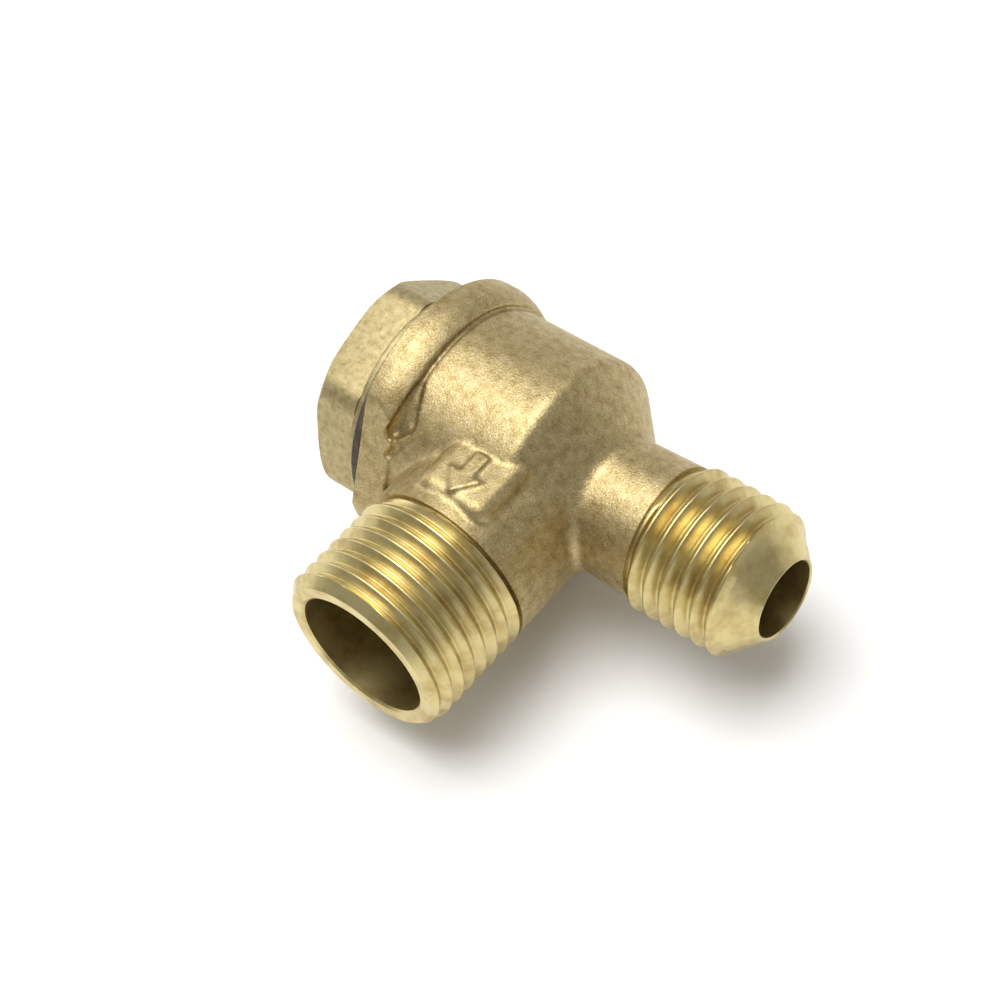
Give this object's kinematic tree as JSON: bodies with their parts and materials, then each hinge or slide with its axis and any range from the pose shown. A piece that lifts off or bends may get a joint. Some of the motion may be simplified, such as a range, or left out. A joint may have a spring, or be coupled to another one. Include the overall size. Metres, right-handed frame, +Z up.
{
  "type": "check valve",
  "caption": "Right-angle brass check valve for an air tank: hex cap, spring-loaded poppet with a rubber disc, male tank port and male flare inlet.",
  "frame": {"origin": "on the table under the middle of the bounding box", "axes": "+X along the barrel towards the flare inlet, -Y out of the tank port, +Z up from the marking pad; the valve lies on its side"},
  "size_m": [0.0546, 0.0463, 0.0312],
  "materials": {
    "forged_brass": "sandblasted forging with bright machined threads",
    "cap_brass": "drawn hexagon, lightly tumbled",
    "turned_brass": "turned",
    "gasket_rubber": "matt",
    "disc_rubber": "matt",
    "steel": "zinc plated",
    "spring_steel": "drawn wire"
  },
  "bodies": {
    "valve": {"valve_body": "forged_brass", "end_cap": "cap_brass", "cap_gasket": "gasket_rubber", "spring_washer": "steel", "return_spring": "spring_steel"},
    "poppet_assembly": {"poppet": "turned_brass", "valve_disc": "disc_rubber", "disc_retainer": "steel", "retainer_screw": "steel"}
  },
  "joints": [
    {"name": "poppet_slide", "type": "slide", "parent": "valve", "child": "poppet_assembly", "axis": [-1, 0, 0], "range_m": [0, 0.0052], "stiffness_N_per_m": 220, "springref_m": -0.006, "deforming": ["return_spring"]}
  ]
}
